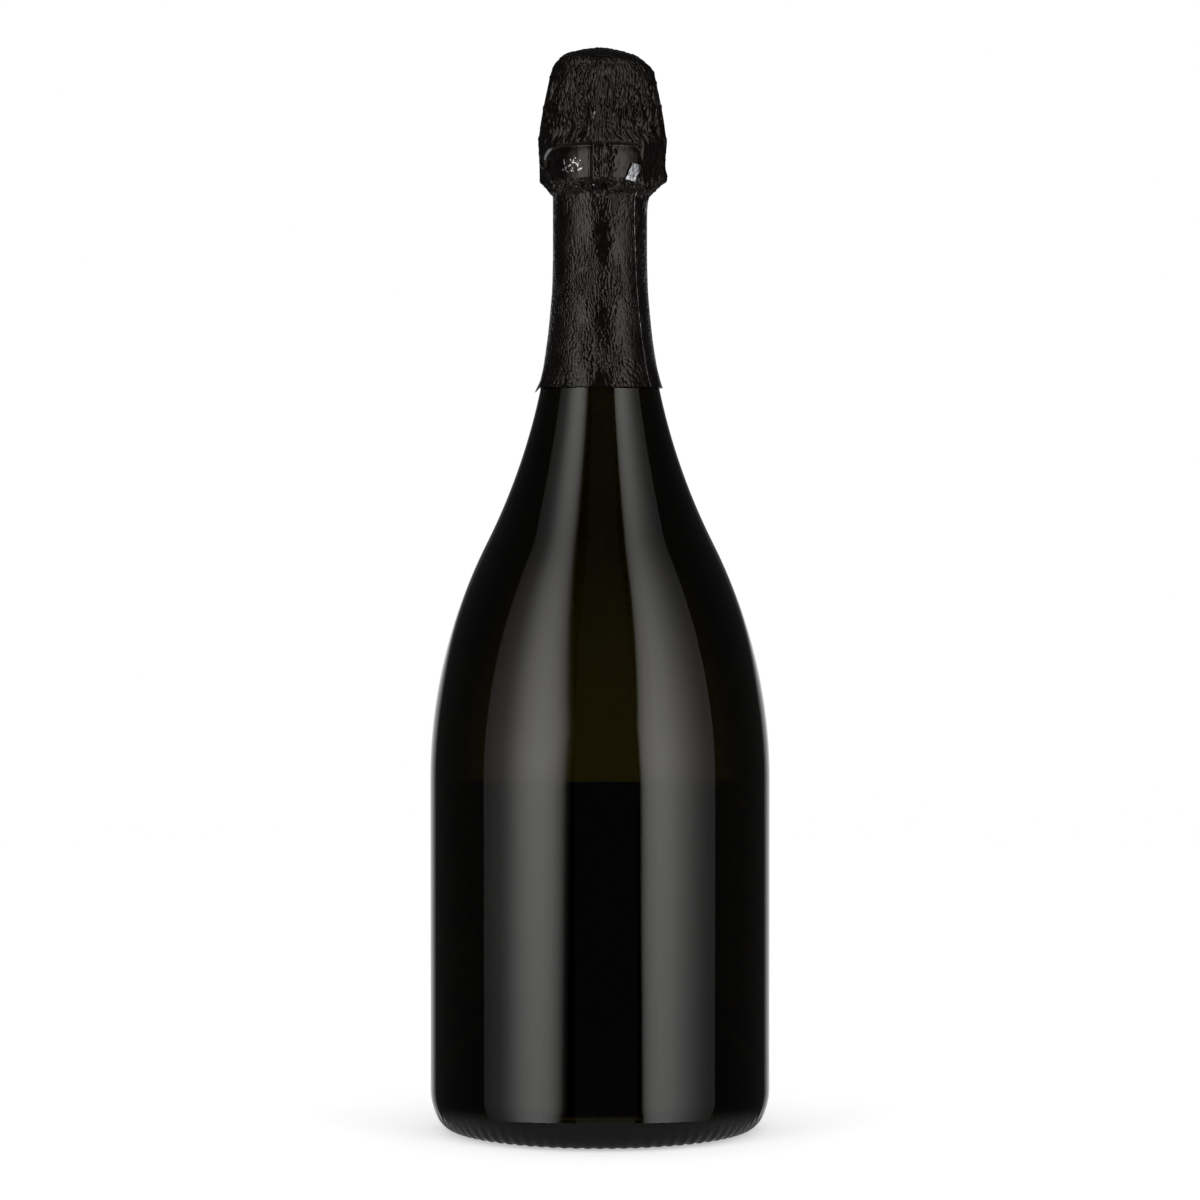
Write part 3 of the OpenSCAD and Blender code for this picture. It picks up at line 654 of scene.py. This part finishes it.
def foil_place(f, level):
    """A point of the capsule in metres, how taut it is, how worn, and how much painted highlight
    its rim gets.
    """
    z, up = level[0], 0
    depth = taut_depth(f, z)
    taut = smooth(depth / 0.7)
    r = foil_r(level, f)
    leg = abs(wrapped(f - leg_turn, 90))
    right_of_front = leg_turn < f < 40
    on_leg = smooth((18 - leg) / 14 if right_of_front else (8 - leg) / 4)
    left = smooth((-58 - f) / 12) * (f > -100)
    # in a window it is drawn onto the ring, and over the ring's top edge, but not off the legs
    over_edge = 0.9 * smooth((z - ring_z - ring_h + 1) / 3.5) * (1 - on_leg)
    drawn = ring_foil - over_edge + 2.5 * on_leg + left
    r += (min(drawn, r) - r) * taut
    # it rolls over the window's edge, most at the left, and leaves room for the tab to turn
    rolled = near(depth, -0.8, 1.3) * smooth((leg - 3) / 5)
    if 40 < f < 60:
        rolled *= smooth((z - strip_top - 0.3) / 2)
    roll = (0.4 if z > taut_z else 0.15) * crumple(f, z, 3, 9)
    r += rolled * (1.2 * left + (1 - left) * roll)
    ragged = 9 * crumple(f, z, 2.5, 12) * right_of_front
    taut = max(taut * smooth((leg - 3 - ragged) / 4), rolled * left)
    if z < ring_z - 5:
        out, up = skirt_crease(f, z)
        r += out
    r += collar_crease(f, z) * (1 - taut) + hood_crease(f, z) * smooth((z - ring_z) / 2)
    # the lacquer is worn low at the left of the front, and at two glints on the front ridge
    worn = max(smooth(1.8 - abs(f + 35) / 12) * smooth(1.8 - abs(z - ring_z - 5.6) / 2.3),
               1.4 * near(f, -8, 3) * near(z, ring_z + 22.5, 4))
    # painted highlight along the rolled rim at the left of the window, stronger towards its top
    rim_highlight = (near(depth, -0.3, 0.55) * left * (0.45 + 0.55 * smooth((z - taut_z) / 2))
              * smooth(abs(z - taut_z) / 1.5))
    # the whole hood is pushed sideways, and stays on the glass
    sideways = hood_shift * smooth((z - ring_z + 11) / 12)
    turn = math.radians(f)
    if z < ring_z + ring_h + 2:
        r = max(r, glass_under(z) + 0.24 - sideways * math.sin(turn))
    z -= crown_lean * r * math.sin(turn) * smooth((z - cork_top + 2) / 4)
    a = math.radians(f + FRONT)
    place = Vector((r * math.cos(a) + sideways, r * math.sin(a), z + up)) * MM
    return place, taut, worn, rim_highlight


def skirt_level(z, over, wave):
    """A level of the skirt, so far over the glass."""
    glass = neck_r
    if z <= neck_z:
        glass += neck_arc - math.sqrt(neck_arc ** 2 - (neck_z - z) ** 2)
    return [z, glass + over, glass + over, glass + over, wave, 0.8]


def level_at(levels, t):
    """The level at a place between two of the levels."""
    i = min(int(t), len(levels) - 2)
    return [p + (q - p) * (t - i) for p, q in zip(levels[i], levels[i + 1])]


def rows_of(levels):
    """Rows as (place in the levels, level), closest over the ring, with the corners eased."""
    places = []
    for i, (p, q) in enumerate(zip(levels, levels[1:])):
        step = 0.42 if ring_z - 7 < (p[0] + q[0]) / 2 < ring_z + 16 else 0.7
        count = max(1, round(math.hypot(q[0] - p[0], q[3] - p[3]) / step))
        places += [i + k / count for k in range(count)]
    last = len(levels) - 1
    ease = 0.22
    rows = [(0, levels[0])]
    for t in places[1:]:
        around = [level_at(levels, min(max(t + d, 0), last)) for d in (-ease, 0, ease)]
        rows.append((t, [(a + 2 * b + c) / 4 for a, b, c in zip(*around)]))
    return rows + [(last, levels[-1])]


def sleeve(rows):
    """A foil sleeve, drawn up ring by ring, with the flat sheet's millimetres as its UV map."""
    bm = bmesh.new()
    turn_of, taut_of, worn_of, rim_highlight_of, rise_of, lean_of = (
        bm.verts.layers.float.new(n) for n in ("turn", "taut", "worn", "rim_highlight", "rise", "lean"))
    bmesh.ops.create_circle(bm, cap_ends=False, radius=1, segments=360)
    for v in bm.verts:
        v[turn_of] = round(math.degrees(math.atan2(v.co.y, v.co.x))) % 360
    ring, edges, rise, last = bm.verts[:], bm.edges[:], 0, rows[0]
    for level in rows:
        z = level[0]
        if level is not last:
            made = bmesh.ops.extrude_edge_only(bm, edges=edges)["geom"]
            ring = [g for g in made if isinstance(g, bmesh.types.BMVert)]
            fresh = set(ring)
            edges = [g for g in made
                     if isinstance(g, bmesh.types.BMEdge) and set(g.verts) <= fresh]
            # the grain is drawn tall on the hood, and is small on its crown
            tall = (1 - 0.2 * smooth((z - hem_z - 30) / 20) - 0.2 * smooth((z - ring_z) / 4)
                    + 0.8 * smooth((z - cork_top + 5) / 5))
            rise += math.hypot(z - last[0], level[3] - last[3]) * tall
            last = level
        for v in ring:
            column = 0.3 if v[turn_of] == 1 else v[turn_of]      # the lap ends in a sharp step
            f = wrapped(lap_seam(z) + column, 360)
            v.co, v[taut_of], v[worn_of], v[rim_highlight_of] = foil_place(f, level)
            v[rise_of], v[lean_of] = rise, drawn_in(f, z)
    face_out(bm)
    sheet = bm.loops.layers.uv.new("flat_sheet")
    for face in bm.faces:
        closing = max(v[turn_of] for v in face.verts) == 359
        for loop in face.loops:
            v = loop.vert
            turn = 360 if closing and v[turn_of] == 0 else v[turn_of]
            loop[sheet].uv = (math.radians(turn + v[lean_of]) * sheet_r, v[rise_of])
    sharpen_border(bm)
    for edge in bm.edges:
        if {v[turn_of] for v in edge.verts} in ({0}, {1}):
            edge.smooth = False
    return bm


def make_sleeves():
    """The skirt, the tear strip and the hood, which are one sheet parted at two perforations."""
    levels = [skirt_level(hem_z + up, over, wave) for up, over, wave in (
        (0, 0.95, 0.12), (2.7, 0.67, 0.06), (7, 0.47, 0), (16.5, 0.42, 0), (23.5, 0.42, 0),
        (33, 0.28, 0), (44, 0.2, 0), (59.5, 0.2, 0), (66.2, 0.25, 0))]
    levels += [
        [ring_z - 3.3, neck_foil + 1.1, neck_foil + 1.1, neck_foil + 0.9, pleat, 0],
        [ring_z - 2.2, neck_foil + 2.3, neck_foil + 2.2, neck_foil + 1.7, pleat, 0],
        [ring_z - 0.7, leg_foil - 1.6, loop_foil - 1.6, ring_foil, pleat, 0],
        [strip_z, leg_foil - 0.2, loop_foil - 0.1, ring_foil + 0.1, 0, 0],
        [strip_top, leg_foil - 0.1, loop_foil, ring_foil, 0, 0],
        [ring_z + ring_h, leg_foil + 0.2, loop_foil - 0.1, ring_foil + 0.3, 0, 0],
        [ring_z + ring_h + 4.5, leg_foil + 0.4, loop_foil - 0.5, ring_foil + 0.2, pleat, 0],
        [mouth_z - 0.5, leg_foil - 0.5, loop_foil - 1.6, ring_foil - 0.6, pleat, 0],
        [mouth_z + 6, leg_foil - 1.7, loop_foil - 2.9, head_r + 2, pleat, 0],
        [mouth_z + 12, leg_foil - 3, head_r + 1.5, head_r + 1.4, pleat, 0],
        [cork_top - 2, leg_foil - 3.9, head_r + 1.1, head_r + 1, pleat, 0],
        [cork_top + 0.9, leg_foil - 5.6, head_r + 0.7, head_r + 0.6, 0, 0]]
    levels += [[cork_top + z, r, r - 0.01, r - 0.02, 0, 0] for r, z in crown_foil]
    strip_at = next(i for i, level in enumerate(levels) if level[0] == strip_z)
    last = len(levels) - 1
    rows = rows_of(levels)
    neck = embossed_foil("black_neck_foil", flat_sheet, 1.05, 1.35, 0.4, 0.3, 64)
    hood = embossed_foil("black_hood_foil", flat_sheet, 0.9, 1.6, 0.42, 0.5)
    for name, start, end, body, node, finish in (
            ("capsule_skirt", 0, strip_at, "bottle", "foil_skirt", neck),
            ("capsule_strip", strip_at, strip_at + 1, "hood", "tear_strip", hood),
            ("capsule_hood", strip_at + 1, last, "hood", "foil_hood", hood)):
        part = [list(level) for t, level in rows if start <= t <= end]
        part[0][0] += 0.02                                   # a hair apart at the perforations
        part[-1][0] -= 0.02
        piece = piece_from(name, sleeve(part), body, "foil", finish, node)
        thicken(piece, foil_skin, -1)


def make_top():
    """The round of pebbled foil pressed on the top of the hood."""
    under = [(p[0] + (q[0] - p[0]) * t / 4, p[1] + (q[1] - p[1]) * t / 4)
             for p, q in zip(crown_foil, crown_foil[1:]) for t in range(4)]
    edge_r, edge_z = crown_foil[-1]
    dome_h = 1.75
    under += [(edge_r * (1 - u / 16), edge_z + dome_h * (1 - (1 - u / 16) ** 2))
              for u in range(17)]
    under = [(r, cork_top + z + 0.05) for r, z in under]
    over = [(r, z + 0.04 + 0.25 * smooth((crown_foil[0][0] - r) / 3)) for r, z in under]
    bm = turned(under[::-1] + over, 184)
    for v in bm.verts:
        r = math.hypot(v.co.x, v.co.y) / MM
        pebbles = 0.3 * noise.noise(v.co * 260) + 0.35 * noise.noise(v.co * 800)
        v.co.z += pebbles * smooth((15.2 - r) / 2) * MM - crown_lean * v.co.x
        v.co.x += hood_shift * MM
    finish = embossed_foil("black_pebbled_foil", seen_from_above, 0.75, 0.75, 0.45, 1)
    piece_from("capsule_top", bm, "hood", "foil", finish, "foil_top_disc")


def make_tab():
    """The strip's free end: bare foil that leans off the ring, with its lower edge folded up."""
    bm = bmesh.new()
    bmesh.ops.create_grid(bm, x_segments=24, y_segments=20, size=0.5)
    for v in bm.verts:
        # u is 0 at the free end and 1 at the hinge, w is 0 at the lower edge and 1 at the upper
        u, w = v.co.x + 0.5, v.co.y + 0.5
        f = (24 + 8.3 * w) * (1 - u) + (35.7 + 10.8 * w) * u
        lift = 0.5 + 0.35 * (1 - u) ** 2 + 0.12 * noise.noise(Vector((u * 5, w * 4, 2)))
        if w < 0.26:
            lift += 0.16                                     # the folded edge
        lift -= 0.6 * smooth((f - 42) / 4.5)                 # its root goes into the strip
        a, r = math.radians(FRONT + f), ring_foil + lift
        z = strip_z - 0.35 + 5.65 * w - 0.65 * u
        v.co = Vector((r * math.cos(a) + hood_shift, r * math.sin(a), z)) * MM
    face_out(bm)
    sharpen_border(bm)
    thicken(piece_from("tear_tab_foil", bm, "tab", "tab", bare_foil(), "tear_tab"), 0.1, 0)


# ---------------------------------------------------------------- label

def make_label():
    """The label on the side away from the camera: a rounded sheet, bent round the glass."""
    bm = bmesh.new()
    bmesh.ops.create_grid(bm, x_segments=1, y_segments=1, size=0.5)
    for v in bm.verts:
        v.co = (v.co.x * label_w, v.co.y * label_h, 0)
    bmesh.ops.bevel(bm, geom=bm.verts[:], offset=label_corner, segments=8, profile=0.5,
                    affect="VERTICES", material=-1)
    # it is cut into strips 2 mm wide, so that it can bend
    for x in range(-46, 47, 2):
        bmesh.ops.bisect_plane(bm, geom=bm.verts[:] + bm.edges[:] + bm.faces[:], dist=0.01,
                               plane_co=(x, 0, 0), plane_no=(1, 0, 0))
    r = body_r + 0.02
    for v in bm.verts:
        a = v.co.x / r
        v.co = Vector((r * math.sin(a), r * math.cos(a), v.co.y + label_z + label_h / 2)) * MM
    face_out(bm)
    sharpen_border(bm)
    thicken(piece_from("paper_label", bm, "bottle", "label", label_paper(), "front_label"), 0.15, 1)


# ---------------------------------------------------------------- cork, cage and plate

def dress_cad_nodes():
    """Gives the part's own solids under the foil their materials."""
    wire, disc = steel_wire(), natural_cork()
    finishes = {
        "cork_body": agglomerate_cork(), "cork_disc_upper": disc, "cork_disc_lower": disc,
        "cap_plate": lacquered_plate(), "cage_belt": wire, "cage_wire_1": wire,
        "cage_wire_2": wire, "cage_wire_3": wire, "cage_wire_4": wire}
    for node, finish in finishes.items():
        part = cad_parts[node]
        part.data.materials.clear()
        part.data.materials.append(finish)


# ---------------------------------------------------------------- studio

def softbox(name, sign, lean, stops):
    """A tall softbox beside the camera: 1 at the right of it, -1 at the left.

    Its stops are (degrees from the camera, radiance), from its inner edge out. The inner edge
    leans outwards above and below the middle, by lean degrees a metre.
    """
    distance, low, middle, high = 1.3, -0.7, 0.35, 4.5
    inner, outer = stops[0][0], stops[-1][0]
    bm = bmesh.new()
    a0 = math.radians(FRONT + sign * inner)
    foot = bm.verts.new((distance * math.cos(a0), distance * math.sin(a0), low))
    head = bm.verts.new((distance * math.cos(a0), distance * math.sin(a0), high))
    edge = bm.edges.new((foot, head))
    bmesh.ops.spin(bm, geom=[foot, head, edge], cent=(0, 0, 0), axis=(0, 0, 1),
                   angle=math.radians(sign * (outer - inner)), steps=24)
    finish, tree = new_finish(name + "_light")
    place = add(tree, "TexCoord").outputs["Object"]
    parts = add(tree, "SeparateXYZ", {"Vector": place})
    side = add(tree, "Math", {0: parts.outputs["X"], 1: sign}, operation="MULTIPLY")
    back = add(tree, "Math", {0: parts.outputs["Y"], 1: -1}, operation="MULTIPLY")
    turn = add(tree, "Math", {0: side.outputs[0], 1: back.outputs[0]}, operation="ARCTAN2")
    off_middle = add(tree, "Math", {0: parts.outputs["Z"], 1: middle}, operation="SUBTRACT")
    off = add(tree, "Math", {0: off_middle.outputs[0]}, operation="ABSOLUTE")
    edge_at = add(tree, "Math", {0: off.outputs[0], 1: math.radians(lean), 2: math.radians(inner)},
                  operation="MULTIPLY_ADD")
    share = add(tree, "MapRange", {
        "Value": turn.outputs[0], "From Min": edge_at.outputs[0], "From Max": math.radians(outer)})
    across = add(tree, "ValToRGB", {"Fac": share.outputs[0]})
    most = max(level for at, level in stops)
    set_stops(across, [((at - inner) / (outer - inner), (level / most,) * 3 + (1,))
                       for at, level in stops])
    # it is brightest a little above the floor
    height = add(tree, "MapRange", {
        "Value": parts.outputs["Z"], "From Min": -0.3, "From Max": 1.7})
    upward = add(tree, "ValToRGB", {"Fac": height.outputs[0]})
    set_stops(upward, ((0, (0.68, 0.68, 0.68, 1)), (0.24, (1, 1, 1, 1)), (1, (0.5, 0.5, 0.5, 1))))
    glow = add(tree, "MixRGB", {"Fac": 1, 1: across.outputs[0], 2: upward.outputs[0]},
               blend_type="MULTIPLY")
    light = add(tree, "Emission", {"Color": glow.outputs[0], "Strength": most})
    finish_surface(tree, light)
    panel = add_object(name, bm, finish)
    panel.visible_camera = False


def make_floor():
    """Pale floor: white to the camera where it is lit, and grey where the bottle shades it."""
    bm = bmesh.new()
    bmesh.ops.create_circle(bm, cap_ends=True, radius=1.25, segments=64)    # short of the softboxes
    finish, tree = new_finish("pale_floor")
    seen = add(tree, "LightPath")
    white = add(tree, "BsdfDiffuse", {"Color": linear("#f0f0f0")})
    lift = add(tree, "Math", {0: seen.outputs["Is Camera Ray"], 1: 0.45}, operation="MULTIPLY")
    glow = add(tree, "Emission", {"Color": (1, 1, 1, 1), "Strength": lift.outputs[0]})
    both = add(tree, "AddShader", {0: white.outputs[0], 1: glow.outputs[0]})
    finish_surface(tree, both)
    floor = add_object("floor", bm, finish)
    floor.location.z = -0.0004
    floor.visible_glossy = False
    floor.visible_transmission = False


def make_world():
    """White to the camera. The glass mirrors and shows only a backdrop behind it and the floor."""
    world = bpy.data.worlds.new("studio")
    bpy.context.scene.world = world
    world.use_nodes = True
    tree = world.node_tree
    tree.nodes.clear()
    ray = add(tree, "LightPath")
    direction = add(tree, "TexCoord").outputs["Generated"]
    parts = add(tree, "SeparateXYZ", {"Vector": direction})
    behind = add(tree, "MapRange", {
        "Value": parts.outputs["Y"], "From Min": 0.84, "From Max": 0.995,
        "To Min": 0, "To Max": 1})
    below = add(tree, "MapRange", {
        "Value": parts.outputs["Z"], "From Min": -0.25, "From Max": -0.6,
        "To Min": 0.03, "To Max": 0.25}, interpolation_type="SMOOTHSTEP")
    # the backdrop's upper part is dim to what mirrors it, so that the foil's crown stays dark
    lower = add(tree, "MapRange", {
        "Value": parts.outputs["Z"], "From Min": 0.03, "From Max": 0.075,
        "To Min": 1, "To Max": 0.15})
    share = add(tree, "Math", {0: ray.outputs["Is Transmission Ray"], 1: lower.outputs[0]},
                operation="MAXIMUM")
    backdrop = add(tree, "Math", {0: behind.outputs[0], 1: share.outputs[0]}, operation="MULTIPLY")
    room = add(tree, "Math", {0: backdrop.outputs[0], 1: below.outputs[0]}, operation="MAXIMUM")
    shiny = add(tree, "Math", {
        0: ray.outputs["Is Glossy Ray"], 1: ray.outputs["Is Transmission Ray"]},
        operation="MAXIMUM")
    # white to the camera, and 0.7 to matt surfaces
    fill = add(tree, "Math", {0: ray.outputs["Is Camera Ray"], 1: 0.3, 2: 0.7},
               operation="MULTIPLY_ADD")
    level = add(tree, "MixRGB", {"Fac": shiny.outputs[0], 1: fill.outputs[0], 2: room.outputs[0]})
    light = add(tree, "Background", {"Color": level.outputs[0], "Strength": 1})
    add(tree, "OutputWorld", {"Surface": light.outputs[0]})
    world.cycles.sampling_method = "NONE"


def make_camera():
    """A long lens at the height of the shoulder, looking slightly down."""
    lens = bpy.data.cameras.new("camera")
    lens.lens, lens.sensor_width, lens.sensor_fit = 125, 36, "HORIZONTAL"
    camera = bpy.data.objects.new("camera", lens)
    bpy.context.scene.collection.objects.link(camera)
    camera.location = (0, -1.447, 0.215)
    aim = Vector((0, 0, 0.1835)) - camera.location
    camera.rotation_euler = aim.to_track_quat("-Z", "Y").to_euler()
    bpy.context.scene.camera = camera


make_glass()
make_wine()
make_sleeves()
make_top()
make_tab()
make_label()
dress_cad_nodes()
softbox("left_softbox", -1, 8.5, (
    (16.5, 0), (19.5, 0.15), (24, 1.4), (29.5, 2.4), (36, 2.9), (43, 2.85), (50, 2.35),
    (56, 1.65), (62, 0.95), (68, 0.55), (75, 0.4), (83, 0.28)))
softbox("right_softbox", 1, 5, (
    (24.5, 0), (27, 1.5), (31, 2.35), (38, 2.85), (45, 2.6), (51, 2.05), (57, 1.5),
    (63, 1.05), (69, 0.68), (76, 0.43), (82, 0.37)))
make_floor()
make_world()
make_camera()
bpy.context.scene.view_settings.view_transform = "Standard"
